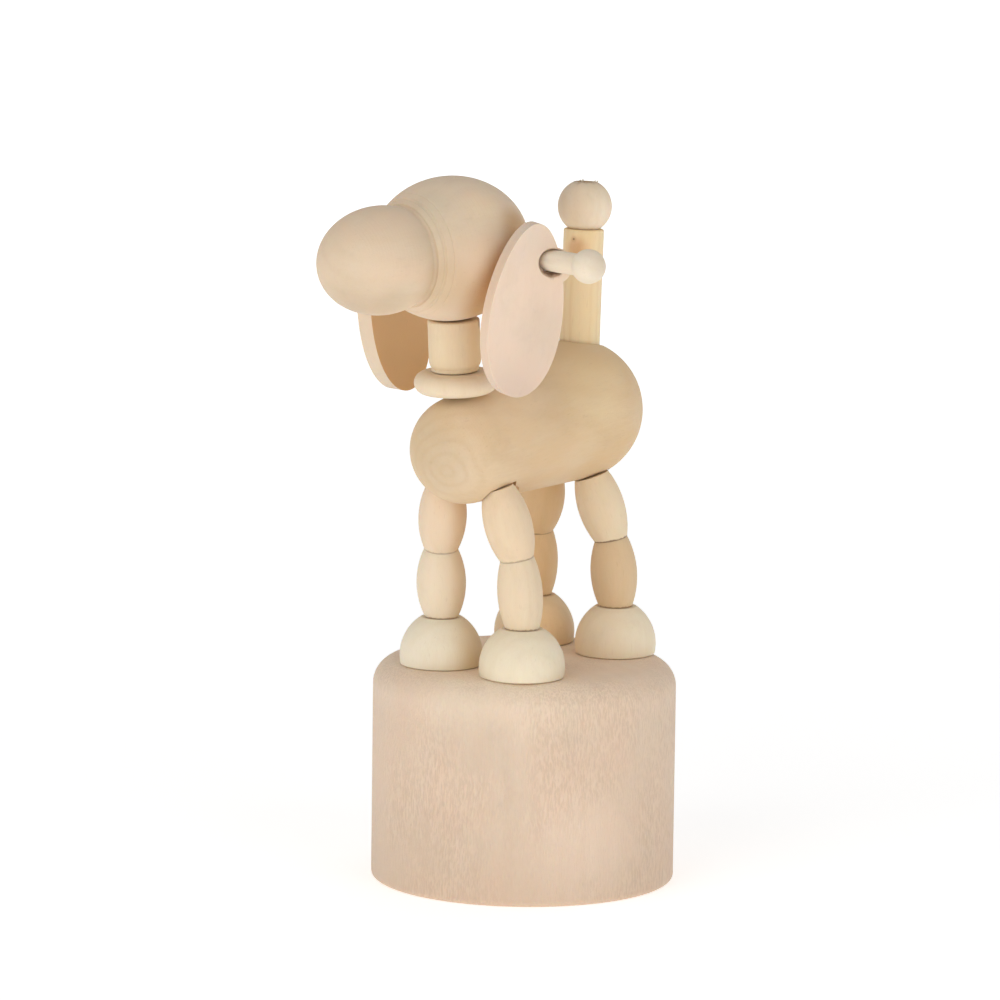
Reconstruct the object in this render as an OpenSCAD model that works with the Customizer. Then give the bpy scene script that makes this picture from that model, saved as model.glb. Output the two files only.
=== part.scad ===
// Push puppet: a jointed wooden dog that stands on a turned drum base.
// Axes: +Z up, the dog faces -Y, its left side is +X, origin in the middle of the base's underside.

/* [Base] */
// Outside diameter of the drum base
base_d = 48; // [46:0.5:52]
// Height of the drum base
base_h = 35; // [33:0.5:40]
// Rounding of the base's top edge
base_round = 4; // [2:0.5:6]
// Rounding of the base's lower edge
base_foot_round = 0.8; // [0.5:0.1:1.5]
// Diameter of the chamber bored up from the underside
chamber_d = 36; // [35:0.5:38]
// Thickness of wood left above the chamber
deck_t = 8; // [6:0.5:10]

/* [Push button and spring] */
// Diameter of the push button disc
button_d = 34.6; // [33.4:0.2:34.8]
// Thickness of the push button disc
button_t = 8; // [6:0.5:9]
// How far the button's face stands inside the base's rim
button_recess = 1.5; // [1:0.25:3]
// How far the button can be pressed
button_travel = 8; // [6:0.5:9]
// Wire diameter of the return spring
spring_wire = 1.2; // [0.8:0.1:1.4]
// Middle diameter of the return spring's coil
spring_d = 21; // [18:0.5:23]
// Number of turns of the return spring
spring_turns = 5; // [4:1:6]

/* [Feet and legs] */
// Widest radius of the front feet
foot_front_r = 6.75; // [6.2:0.05:7]
// Widest radius of the rear feet
foot_rear_r = 6.45; // [6:0.05:6.6]
// Height of every foot
foot_h = 7.6; // [7.3:0.1:8]
// Length of each leg bead
bead_l = 10.6; // [10.4:0.1:10.7]
// Widest radius of the lower leg beads
lower_r = 3.6; // [3.5:0.05:3.7]
// How much shorter the rear leg beads are
rear_short = 0.3; // [0.1:0.1:0.4]
// Widest radius of the upper leg beads
upper_r = 3.8; // [3.7:0.05:3.9]
// Radius of the flat ends of the leg beads
bead_end_r = 2.75; // [2.6:0.05:2.85]
// Forward lean of the lower beads
lower_fwd = 6; // [4:0.5:7]
// Inward lean of the lower beads
lower_in = 3; // [2:0.5:4]
// Forward lean of the upper beads
upper_fwd = 10.5; // [9:0.5:11.5]
// Inward lean of the upper beads
upper_in = 11; // [10:0.5:12]

/* [Body] */
// Radius of the round chest end
chest_r = 8.5; // [8.3:0.05:8.7]
// Radius of the round rump end
rump_r = 11.2; // [11:0.05:11.4]
// Diameter of the bored cord channels
channel_d = 2.2; // [2:0.1:2.6]

/* [Neck] */
// Outside diameter of the collar ring
collar_d = 13; // [12.4:0.1:13.4]
// Height of the collar ring
collar_h = 3.4; // [3.2:0.1:3.4]
// Diameter of the neck bead
neck_d = 8.1; // [7.9:0.1:8.3]

/* [Head] */
// How far the head is turned to the dog's right
head_yaw = 12; // [8:1:16]
// Radius of the skull, square to the muzzle's axis
skull_r = 11.2; // [11:0.05:11.4]
// Half length of the skull along the muzzle's axis
skull_a = 13.2; // [13:0.1:13.6]
// Radius of the muzzle, square to its axis
muzzle_r = 8.4; // [8.2:0.05:8.6]
// Half length of the muzzle along its axis
muzzle_a = 10.7; // [10.3:0.1:11]
// Distance between the middles of skull and muzzle
muzzle_d = 14; // [13.6:0.1:14.3]
// Downward pitch of the muzzle
head_pitch = 3.3; // [3:0.1:5]

/* [Ears] */
// Diameter of the ear peg's shaft
peg_d = 3.4; // [3.2:0.05:3.5]
// Diameter of the ball on the ear peg's end
peg_ball_d = 5.3; // [5.1:0.1:5.6]
// Length of an ear plate
ear_l = 26.9; // [26:0.1:27.5]
// Width of an ear plate
ear_w = 11.8; // [11.5:0.1:12.1]
// Thickness of an ear plate
ear_t = 3.2; // [3:0.1:3.3]
// Diameter of the hole in an ear
ear_hole_d = 3.6; // [3.55:0.05:3.7]

/* [Tail] */
// Diameter of the tail post
tail_d = 6.4; // [6:0.1:6.8]
// Height at which the tail post ends
tail_top = 102.4; // [100:0.1:103]
// Diameter of the tail ball
tail_ball_d = 8.6; // [8.2:0.1:9]

/* [Hidden] */
$fn = 64;
cord_r = 0.5;
base_r = base_d / 2;
chamber_h = base_h - deck_t;
foot_top = base_h + foot_h;
button_z = button_recess;
button_top = button_z + button_t;

// each leg: middle of its foot, side (+1 is the dog's left), lean of its lower bead forward and
// inward, lean of its upper bead forward and inward, bead length, widest radius of its lower and of
// its upper bead, how far the upper bead's top is let into the body beyond that length
FL = [8.7, -12.4, 1, lower_fwd, lower_in - 1.5, upper_fwd, upper_in + 1, bead_l, lower_r - 0.05, upper_r - 0.05, 0.8];
FR = [-7.2, -12.4, -1, lower_fwd, lower_in, upper_fwd, upper_in, bead_l, lower_r + 0.3, upper_r, 0.8];
RL = [7.9, 13.4, 1, lower_fwd - 1, lower_in - 1.2, upper_fwd + 0.5, upper_in + 4, bead_l - rear_short, lower_r + 0.1, upper_r - 0.1, 0];
RR = [-8.25, 13.5, -1, lower_fwd, lower_in + 2, upper_fwd, upper_in + 6, bead_l - rear_short, lower_r, upper_r, 0.4];

function bead_dir(f, i) = [cos(f) * sin(i), -sin(f), cos(f) * cos(i)];
function lo_dir(g) = bead_dir(g[3], -g[2] * g[4]);
function up_dir(g) = bead_dir(g[5], -g[2] * g[6]);
function ankle(g) = [g[0], g[1], foot_top + 0.03 + bead_end_r * sqrt(1 - pow(lo_dir(g)[2], 2))];
function knee_lo(g) = ankle(g) + g[7] * lo_dir(g);
function knee_gap(g) = 0.03 + 2 * bead_end_r * sin(acos(lo_dir(g) * up_dir(g)) / 2);
function mid_dir(g) = (lo_dir(g) + up_dir(g)) / norm(lo_dir(g) + up_dir(g));
function knee_up(g) = knee_lo(g) + knee_gap(g) * mid_dir(g);
function knee_mid(g) = (knee_lo(g) + knee_up(g)) / 2;
function hip(g) = knee_up(g) + g[7] * up_dir(g);

chest_c = [0.78, -17.54, 70.7];
rump_c = [0.78, 10.61, 73.8];
body_len = norm(rump_c - chest_c);
body_tilt = atan2(rump_c[2] - chest_c[2], rump_c[1] - chest_c[1]);

// the collar ring lies level on the rising back and touches it at its rear
collar_tilt = 3;
collar_ax = [0, -sin(collar_tilt), cos(collar_tilt)];
collar_foot = [0.48, -19.44, 79.78];
neck_tilt = 4.3;
neck_ax = [0, -sin(neck_tilt), cos(neck_tilt)];
neck_foot = [0.48, -19.69, 83.44];
neck_l = 8.06;
neck_top = neck_foot + neck_l * neck_ax;

head_c = [0.78, -21.84, 102.6];
head_f = [-sin(head_yaw), -cos(head_yaw), 0];
head_e = [cos(head_yaw), -sin(head_yaw), 0];
peg_back = 5.5;
peg_z = -0.45;
peg_root = head_c - peg_back * head_f + [0, 0, peg_z];
peg_in = 4.2;
near_ear_at = 17.1;
far_ear_at = 19.2;
peg_len = 26;
near_ear_turn = 20;
far_ear_turn = 2;
// the far ear is holed nearer its top and hangs with its lower end further back
far_ear_low = 2.9;
far_ear_swing = 20;
ear_drop = 0.05;

tail_foot = [0.78, 12.26, 83.3];
tail_lean = atan2(0.75, 18.2);
tail_ax = [0, sin(tail_lean), cos(tail_lean)];
tail_len = (tail_top - tail_foot[2]) / cos(tail_lean);
tail_end = tail_foot + tail_len * tail_ax;
tail_ball_c = tail_end + 3.55 * tail_ax;

// ---------- helpers ----------

// lays a shape drawn along +Z so that its axis runs along v, v having no turn about its own axis
module along(v) {
  rotate([0, 0, atan2(v[1], v[0])]) rotate([0, acos(v[2] / norm(v)), 0]) children();
}

// drum with a rounded top edge rt and a rounded bottom edge rb
module drum(r, h, rt, rb) {
  rotate_extrude($fn = 96) union() {
    square([r - rt, h]);
    translate([0, rb]) square([r, h - rt - rb]);
    square([r - rb, h - rt]);
    intersection() { translate([r - rt, h - rt]) circle(rt); translate([0, 0]) square([r, h]); }
    intersection() { translate([r - rb, rb]) circle(rb); translate([0, 0]) square([r, h]); }
  }
}

// solid of revolution bounded by one arc: widest radius rm at height zm, radius re at height ze
module arc_turn(rm, zm, re, ze, z0, z1) {
  k = (re * re + pow(ze - zm, 2) - rm * rm) / (2 * (rm - re));
  rotate_extrude() intersection() {
    translate([-k, zm]) circle(rm + k, $fn = 180);
    translate([0, z0]) square([rm + 1, z1 - z0]);
  }
}

// barrel bead standing on the origin, drilled along its axis; low and high lengthen its ends
module barrel(l, rm, re, hole, low, high) {
  difference() {
    arc_turn(rm, l / 2, re, l, -low, l + high);
    translate([0, 0, -low - 1]) cylinder(d = hole, h = l + low + high + 2);
  }
}

// everything beyond the plane through p, on the side to which n points
module beyond(p, n) {
  translate(p) along(n) translate([-10, -10, 0]) cube([20, 20, 12]);
}

module foot(p, r) {
  translate([p[0], p[1], base_h]) difference() {
    intersection() {
      arc_turn(r, 1.6, 3.3, foot_h, 0, foot_h);
      drum(r + 0.2, foot_h, 1.2, 0.9);
    }
    translate([0, 0, -1]) cylinder(d = channel_d, h = foot_h + 2);
  }
}

// the ends that meet at the foot and at the knee are sanded to lie flat on each other
module lower_leg(g) {
  difference() {
    translate(ankle(g)) rotate([g[3], -g[2] * g[4], 0]) barrel(g[7], g[8], bead_end_r, channel_d, 1.2, 1.2);
    translate([g[0] - 10, g[1] - 10, foot_top + 0.03 - 12]) cube([20, 20, 12]);
    beyond(knee_mid(g) - 0.015 * mid_dir(g), mid_dir(g));
  }
}

module upper_leg(g) {
  difference() {
    translate(knee_up(g)) rotate([g[5], -g[2] * g[6], 0]) barrel(g[7], g[9], bead_end_r, channel_d, 1.2, g[10]);
    beyond(knee_mid(g) + 0.015 * mid_dir(g), -mid_dir(g));
  }
}

// straight round bar from a to b
module bar(a, b, d) {
  translate(a) along(b - a) cylinder(d = d, h = norm(b - a));
}

// half outline of an ellipse of revolution, axis along Y of the drawing
function oval_pts(ra, rr, n) = [for (i = [0:n]) let (t = -90 + 180 * i / n) [max(0, rr * cos(t)), ra * sin(t)]];

// ---------- base, button, spring ----------

module base() {
  color("#dcc2a2") difference() {
    drum(base_r, base_h, base_round, base_foot_round);
    translate([0, 0, -1]) cylinder(d = chamber_d, h = chamber_h + 1, $fn = 96);
    translate([0, 0, -0.01]) cylinder(r1 = chamber_d / 2 + 0.5, r2 = chamber_d / 2, h = 0.5, $fn = 96);
    for (p = [FL, FR, RL, RR]) translate([p[0], p[1], chamber_h - 1]) cylinder(d = channel_d, h = deck_t + 2);
  }
}

module push_button() {
  color("#e2cba6") translate([0, 0, button_z]) difference() {
    drum(button_d / 2, button_t, 0.6, 0.8);
    for (p = [FL, FR, RL, RR]) translate([p[0], p[1], 0]) {
      translate([0, 0, -1]) cylinder(d = 1.8, h = button_t + 2);
      translate([0, 0, -1]) cylinder(d = 3.8, h = 4);
    }
  }
}

// coil with closed ends: height of the wire's middle along the winding
function coil_z(u, n, h) = u < 0.75 ? spring_wire * u
  : u > n - 0.75 ? h - spring_wire * (n - u)
  : spring_wire * 0.75 + (h - 1.5 * spring_wire) * (u - 0.75) / (n - 1.5);

module return_spring() {
  per = 20;
  sides = 8;
  n = spring_turns;
  rings = per * n;
  h = chamber_h - button_top - spring_wire - 0.04;
  z0 = button_top + spring_wire / 2 + 0.02;
  pts = [for (i = [0:rings]) for (j = [0:sides - 1])
    let (u = i / per, a = 360 * u, q = 360 * j / sides, r = spring_d / 2 + spring_wire / 2 * cos(q))
    [r * cos(a), r * sin(a), z0 + coil_z(u, n, h) + spring_wire / 2 * sin(q)]];
  side_f = [for (i = [0:rings - 1]) for (j = [0:sides - 1])
    [i * sides + j, i * sides + (j + 1) % sides, (i + 1) * sides + (j + 1) % sides, (i + 1) * sides + j]];
  color("#b9bcbf") polyhedron(
    points = pts,
    faces = concat(side_f, [[for (j = [sides - 1:-1:0]) j]], [[for (j = [0:sides - 1]) rings * sides + j]]),
    convexity = 10);
}

// ---------- feet and legs ----------

module foot_front_left() { color("#ead8bb") foot(FL, foot_front_r); }
module foot_front_right() { color("#ead8bb") foot(FR, foot_front_r - 0.2); }
module foot_rear_left() { color("#e6d2b2") foot(RL, foot_rear_r); }
module foot_rear_right() { color("#e6d2b2") foot(RR, foot_rear_r); }

module lower_leg_front_left() { color("#e8d0a8") lower_leg(FL); }
module lower_leg_front_right() { color("#e8d0a8") lower_leg(FR); }
module lower_leg_rear_left() { color("#e0c294") lower_leg(RL); }
module lower_leg_rear_right() { color("#e0c294") lower_leg(RR); }

module upper_leg_front_left() { color("#e6cca2") upper_leg(FL); }
module upper_leg_front_right() { color("#e6cca2") upper_leg(FR); }
module upper_leg_rear_left() { color("#e0c69c") upper_leg(RL); }
module upper_leg_rear_right() { color("#e0c69c") upper_leg(RR); }

// ---------- body ----------

// where a front cord leaves the body, under the back of the collar
function neck_exit(g) = collar_foot + [0.6 * g[2], 1.9, -0.25];

// flat-bottomed seat for the top of a leg, eased behind so that the bead can tip
module hip_seat(g) {
  translate(hip(g) - 3 * up_dir(g)) rotate([g[5], -g[2] * g[6], 0]) cylinder(r = bead_end_r + 0.3, h = 3.2 + g[10]);
  translate(hip(g) - 3.4 * up_dir(g) + [-0.7 * g[2], 1.6, 0]) sphere(r = 4.2, $fn = 72);
}

module body() {
  // the two round ends and the cone between them meet where they are tangent
  a0 = asin((rump_r - chest_r) / body_len);
  x0 = chest_r * cos(a0);
  y0 = chest_r * sin(a0);
  x1 = rump_r * cos(a0);
  y1 = rump_r * sin(a0);
  color("#ddb67e") difference() {
    translate(chest_c) rotate([body_tilt - 90, 0, 0]) rotate_extrude($fn = 96) intersection() {
      union() {
        circle(chest_r, $fn = 180);
        polygon([[-1, -y0], [x0 - 0.01, -y0], [x1 - 0.01, body_len - y1], [-1, body_len - y1]]);
        translate([0, body_len]) circle(rump_r, $fn = 180);
      }
      translate([0, -20]) square([20, 80]);
    }
    hip_seat(FL);
    hip_seat(FR);
    hip_seat(RL);
    hip_seat(RR);
    // spot-faced seat of the tail post
    translate(tail_foot - 0.02 * tail_ax) along(tail_ax) cylinder(r = tail_d / 2 + 0.5, h = 6);
    // cord channels from the hips to the neck and to the tail
    for (g = [FL, FR]) bar(hip(g) - 1 * up_dir(g), neck_exit(g) + 2 * unit(neck_exit(g) - hip(g)), channel_d);
    for (g = [RL, RR]) bar(hip(g) - 1 * up_dir(g), tail_foot + [0.6 * g[2], 0, 1.5], channel_d);
  }
}

// ---------- collar, neck, head ----------

module collar_ring() {
  r = collar_d / 2;
  m = collar_h / 2;
  color("#e6c795") translate(collar_foot + 0.02 * collar_ax) along(collar_ax) rotate_extrude($fn = 72) difference() {
    union() {
      translate([r - m, m]) circle(m);
      translate([2.45, 0]) square([r - m - 2.45, collar_h]);
    }
    // dished top in which the neck bead stands
    translate([0, collar_h + 5.6]) circle(6.4, $fn = 120);
  }
}

module neck_bead() {
  r = neck_d / 2;
  color("#e4c89c") translate(neck_foot) along(neck_ax) difference() {
    drum(r, neck_l, 0.35, 1.5);
    translate([0, 0, -1]) cylinder(d = 3, h = neck_l + 2);
  }
}

// turned about Z of the drawing: -Z is the muzzle's end
module head_turning() {
  groove = 9.65;
  difference() {
    rotate_extrude($fn = 96) difference() {
      union() {
        polygon(oval_pts(skull_a, skull_r, 48));
        translate([0, muzzle_d]) polygon(oval_pts(muzzle_a, muzzle_r, 48));
      }
      // turned groove between muzzle and skull and two fine turned lines behind it
      translate([8.05, groove]) circle(0.5);
      translate([8.95, groove - 1.2]) circle(0.42);
      translate([9.75, groove - 2.5]) circle(0.36);
    }
  }
}

module head() {
  color("#dcc0a0") difference() {
    translate(head_c) rotate([0, 0, -head_yaw]) rotate([90 + head_pitch, 0, 0]) head_turning();
    // flat seat on the neck bead
    translate(neck_top + 0.02 * neck_ax) along(-neck_ax) cylinder(r = neck_d / 2 + 0.15, h = 5);
    // blind bore in which the cord ends are glued
    bar(neck_top - 1 * neck_ax, neck_shift(5.7), 3);
    // blind bores for the ear pegs
    bar(peg_root + peg_in * head_e, peg_root + 20 * head_e, peg_d);
    bar(peg_root - peg_in * head_e, peg_root - 20 * head_e, peg_d);
  }
}

// where the neck's axis is at a height z above the middle of the head
function neck_shift(z) = neck_top + neck_ax * (head_c[2] + z - neck_top[2]) / neck_ax[2];

// ---------- ears ----------

module ear_peg(s) {
  color("#efe0c4") translate(peg_root + s * (peg_in + 0.02) * head_e) along(s * head_e) rotate_extrude() union() {
    square([peg_d / 2 - 0.01, peg_len - peg_in]);
    intersection() {
      translate([0, peg_len - peg_in]) circle(peg_ball_d / 2);
      translate([0, peg_len - peg_in - 5]) square([5, 10]);
    }
  }
}

module ear_peg_left() { ear_peg(1); }
module ear_peg_right() { ear_peg(-1); }

// plate drawn flat: hole at the origin, long way down -Y, front edge towards -X; low lengthens the
// part below the hole, turn is the plate's turn against the peg (the hole is bored along the peg)
module ear_plate(low, turn) {
  hang = 7.9 + low;
  back = 3.1;
  lean = 8.3;
  difference() {
    union() {
      rotate([0, 0, -lean]) translate([-back, -hang, -ear_t / 2])
        linear_extrude(ear_t) polygon([for (i = [0:71]) let (t = 5 * i)
          [ear_w / 2 * cos(t) * (1 - 0.155 * sin(t)), ear_l / 2 * sin(t)]]);
      translate([0.3, -0.65, -ear_t / 2]) cylinder(r = 2.8, h = ear_t);
    }
    rotate([0, turn, 0]) translate([0, 0, -4]) cylinder(d = ear_hole_d, h = 8);
    // worn, flared mouth on the outer face
    translate([-0.2, -0.15, ear_t / 2 - 1.3]) cylinder(r1 = ear_hole_d / 2 - 0.05, r2 = ear_hole_d / 2 + 0.5, h = 1.31);
  }
}

module ear_left() {
  color("#e8d0ba") translate(peg_root + near_ear_at * head_e - [0, 0, ear_drop])
    rotate([0, 0, -head_yaw - near_ear_turn]) rotate([90, 0, 90]) ear_plate(0, near_ear_turn);
}

module ear_right() {
  color("#e4ccb4") translate(peg_root - far_ear_at * head_e - [0, 0, ear_drop])
    rotate([0, 0, -head_yaw + far_ear_turn]) mirror([1, 0, 0]) rotate([90, 0, 90])
      rotate([0, 0, far_ear_swing]) ear_plate(far_ear_low, far_ear_turn);
}

// ---------- tail ----------

module tail_post() {
  color("#dfb67c") translate(tail_foot) along(tail_ax) difference() {
    drum(tail_d / 2, tail_len, 0.3, 0.25);
    translate([0, 0, -1]) cylinder(d = 2.6, h = tail_len + 2);
  }
}

module tail_ball() {
  r = tail_ball_d / 2;
  color("#d9ba92") translate(tail_ball_c) along(tail_ax) difference() {
    rotate_extrude() intersection() {
      circle(r, $fn = 120);
      translate([0, -3.5]) square([r + 1, 3.5 + 3.9]);
    }
    translate([0, 0, -6]) cylinder(d = 2.6, h = 7.5);
    translate([0, 0, 1.4]) cylinder(d = 2.9, h = 6);
  }
}

module tail_plug() {
  color("#c79a62") translate(tail_ball_c + 1.5 * tail_ax) along(tail_ax) cylinder(d = 2.88, h = 2.2);
}

// ---------- cords ----------

function unit(v) = v / norm(v);

// round cord swept along hand-chosen points
module cord_run(P) {
  sides = 6;
  n = len(P);
  pts = [for (i = [0:n - 1])
    let (t = unit(P[min(i + 1, n - 1)] - P[max(i - 1, 0)]),
         a = unit(cross(t, [0, 1, 0])), b = cross(t, a))
    for (j = [0:sides - 1]) P[i] + cord_r * (cos(360 * j / sides) * a + sin(360 * j / sides) * b)];
  side_f = [for (i = [0:n - 2]) for (j = [0:sides - 1])
    [i * sides + j, (i + 1) * sides + j, (i + 1) * sides + (j + 1) % sides, i * sides + (j + 1) % sides]];
  color("#efe9da") polyhedron(
    points = pts,
    faces = concat(side_f, [[for (j = [0:sides - 1]) j]], [[for (j = [sides - 1:-1:0]) (n - 1) * sides + j]]),
    convexity = 10);
}

knot_z = button_z + 3;
function leg_route(g) = [
  [g[0], g[1], knot_z + 0.2],
  [g[0], g[1], button_top],
  [g[0], g[1], chamber_h],
  [g[0], g[1], foot_top - 2],
  ankle(g) + 0.8 * lo_dir(g),
  knee_lo(g) - 0.8 * lo_dir(g),
  knee_up(g) + 0.8 * up_dir(g),
  hip(g) - 1.2 * up_dir(g)
];

module cord_front(g) {
  side = [0.6 * g[2], 0, 0];
  cord_run(concat(leg_route(g), [
    hip(g) + 1.5 * unit(neck_exit(g) - hip(g)),
    neck_exit(g),
    collar_foot + side + [0, 1.1, 1],
    collar_foot + side + 3 * collar_ax,
    neck_foot + side + 1 * neck_ax,
    neck_top + side,
    neck_shift(5.3) + side
  ]));
}

module cord_rear(g) {
  side = [0.56 * g[2], 0, 0];
  cord_run(concat(leg_route(g), [
    hip(g) + 1.5 * unit(tail_foot + [0.6 * g[2], 0, 1.5] - hip(g)),
    tail_foot + side - 0.4 * tail_ax,
    tail_foot + side + 1.4 * tail_ax,
    tail_end + side,
    tail_ball_c + side + 1.3 * tail_ax
  ]));
}

module cord_front_left() { cord_front(FL); }
module cord_front_right() { cord_front(FR); }
module cord_rear_left() { cord_rear(RL); }
module cord_rear_right() { cord_rear(RR); }

module cord_knots() {
  color("#e9e2d0") for (p = [FL, FR, RL, RR]) translate([p[0], p[1], knot_z - 1.45]) sphere(r = 1.4, $fn = 32);
}

base();
push_button();
return_spring();
foot_front_left();
foot_front_right();
foot_rear_left();
foot_rear_right();
lower_leg_front_left();
lower_leg_front_right();
lower_leg_rear_left();
lower_leg_rear_right();
upper_leg_front_left();
upper_leg_front_right();
upper_leg_rear_left();
upper_leg_rear_right();
body();
collar_ring();
neck_bead();
head();
ear_peg_left();
ear_peg_right();
ear_left();
ear_right();
tail_post();
tail_ball();
tail_plug();
cord_front_left();
cord_front_right();
cord_rear_left();
cord_rear_right();
cord_knots();
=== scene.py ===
import math
import random

import bpy
from mathutils import Euler, Matrix, Vector


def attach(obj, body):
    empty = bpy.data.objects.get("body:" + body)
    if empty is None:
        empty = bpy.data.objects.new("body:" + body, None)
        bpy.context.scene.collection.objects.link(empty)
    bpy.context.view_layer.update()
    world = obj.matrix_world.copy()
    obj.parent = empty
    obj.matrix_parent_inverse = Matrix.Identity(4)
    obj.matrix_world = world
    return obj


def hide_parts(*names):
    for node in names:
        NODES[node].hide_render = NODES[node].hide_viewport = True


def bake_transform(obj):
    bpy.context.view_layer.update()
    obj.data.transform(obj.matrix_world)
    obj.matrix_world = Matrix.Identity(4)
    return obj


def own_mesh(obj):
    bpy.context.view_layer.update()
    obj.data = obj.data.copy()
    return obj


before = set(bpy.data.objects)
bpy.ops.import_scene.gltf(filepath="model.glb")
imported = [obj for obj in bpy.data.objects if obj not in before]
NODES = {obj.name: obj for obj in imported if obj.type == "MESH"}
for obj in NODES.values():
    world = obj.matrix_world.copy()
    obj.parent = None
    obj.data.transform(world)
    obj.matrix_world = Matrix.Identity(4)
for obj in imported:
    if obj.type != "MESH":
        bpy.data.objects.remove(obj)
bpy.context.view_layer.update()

MM = 0.001
random.seed(11)


def V(x, y, z):
    return Vector((x, y, z))


# ---------------------------------------------------------------- geometry facts, in mm, as in the CAD
BASE_H, DECK_T, FOOT_H = 35.0, 8.0, 7.6
CHAMBER_H = BASE_H - DECK_T
BUTTON_TOP = 9.5
END_R = 2.75
FOOT_TOP = BASE_H + FOOT_H
TRAVEL = 8.0


def bead_dir(f, i):
    f, i = math.radians(f), math.radians(i)
    return V(math.cos(f) * math.sin(i), -math.sin(f), math.cos(f) * math.cos(i))


class Leg:
    def __init__(self, x, y, side, f0, i0, f1, i1, l):
        self.x, self.y, self.side = x, y, side
        self.lo = bead_dir(f0, -side * i0)
        self.up = bead_dir(f1, -side * i1)
        self.ankle = V(x, y, FOOT_TOP + 0.03 + END_R * math.sqrt(1 - self.lo.z ** 2))
        self.knee_lo = self.ankle + l * self.lo
        gap = 0.03 + 2 * END_R * math.sin(math.acos(min(1, self.lo.dot(self.up))) / 2)
        self.knee_up = self.knee_lo + gap * (self.lo + self.up).normalized()
        self.hip = self.knee_up + l * self.up


LEGS = {
    "front_left": Leg(8.7, -12.4, 1, 6, 1.5, 10.5, 12, 10.6),
    "front_right": Leg(-7.2, -12.4, -1, 6, 3, 10.5, 11, 10.6),
    "rear_left": Leg(7.9, 13.4, 1, 5, 1.8, 11, 15, 10.3),
    "rear_right": Leg(-8.25, 13.5, -1, 6, 5, 10.5, 17, 10.3),
}
COLLAR_FOOT = V(0.48, -19.44, 79.78)
COLLAR_AX = V(0, -math.sin(math.radians(3)), math.cos(math.radians(3)))
NECK_FOOT = V(0.48, -19.69, 83.44)
NECK_AX = V(0, -math.sin(math.radians(4.3)), math.cos(math.radians(4.3)))
NECK_TOP = NECK_FOOT + 8.06 * NECK_AX
HEAD_C = V(0.78, -21.84, 102.6)
YAW = math.radians(12)
HEAD_F = V(-math.sin(YAW), -math.cos(YAW), 0)
HEAD_E = V(math.cos(YAW), -math.sin(YAW), 0)
HEAD_AX = V(-math.sin(YAW) * math.cos(math.radians(3.3)), -math.cos(YAW) * math.cos(math.radians(3.3)), -math.sin(math.radians(3.3)))
TAIL_FOOT = V(0.78, 12.26, 83.3)
TAIL_LEAN = math.atan2(0.75, 18.2)
TAIL_AX = V(0, math.sin(TAIL_LEAN), math.cos(TAIL_LEAN))
TAIL_END = TAIL_FOOT + (102.4 - 83.3) / math.cos(TAIL_LEAN) * TAIL_AX
TAIL_BALL = TAIL_END + 3.55 * TAIL_AX
CHEST, RUMP = V(0.78, -17.54, 70.7), V(0.78, 10.61, 73.8)
BODY_AX = (RUMP - CHEST).normalized()
PEG_ROOT = HEAD_C - 5.5 * HEAD_F + V(0, 0, -0.45)


def neck_exit(g):
    return COLLAR_FOOT + V(0.6 * g.side, 1.9, -0.25)


# ---------------------------------------------------------------- camera, matched to the picture's view
AZ = math.radians(36.7)
CAM = V(1100 * math.sin(AZ), -1100 * math.cos(AZ), 243)
SIDE = V(math.cos(AZ), math.sin(AZ), 0)
AIM = SIDE * -4.255 + V(0, 0, 60.37)
fwd = (AIM - CAM).normalized()
r0 = fwd.cross(V(0, 0, 1)).normalized()
u0 = r0.cross(fwd)
roll = math.radians(0.742)
right = math.cos(roll) * r0 + math.sin(roll) * u0
up = -math.sin(roll) * r0 + math.cos(roll) * u0
cam_data = bpy.data.cameras.new("camera")
cam = bpy.data.objects.new("camera", cam_data)
bpy.context.scene.collection.objects.link(cam)
cam_data.sensor_fit = "HORIZONTAL"
cam_data.sensor_width = 36
cam_data.lens = 36 * 7071 / 1000
cam_data.clip_start, cam_data.clip_end = 0.05, 60
m = Matrix((right, up, -fwd)).transposed().to_4x4()
m.translation = CAM * MM
cam.matrix_world = m
bpy.context.scene.camera = cam


# ---------------------------------------------------------------- materials
def srgb(r, g, b, k=1.0):
    def f(c):
        c = c / 255
        return (c / 12.92 if c <= 0.04045 else ((c + 0.055) / 1.055) ** 2.4) * k
    return (f(r), f(g), f(b), 1.0)


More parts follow.
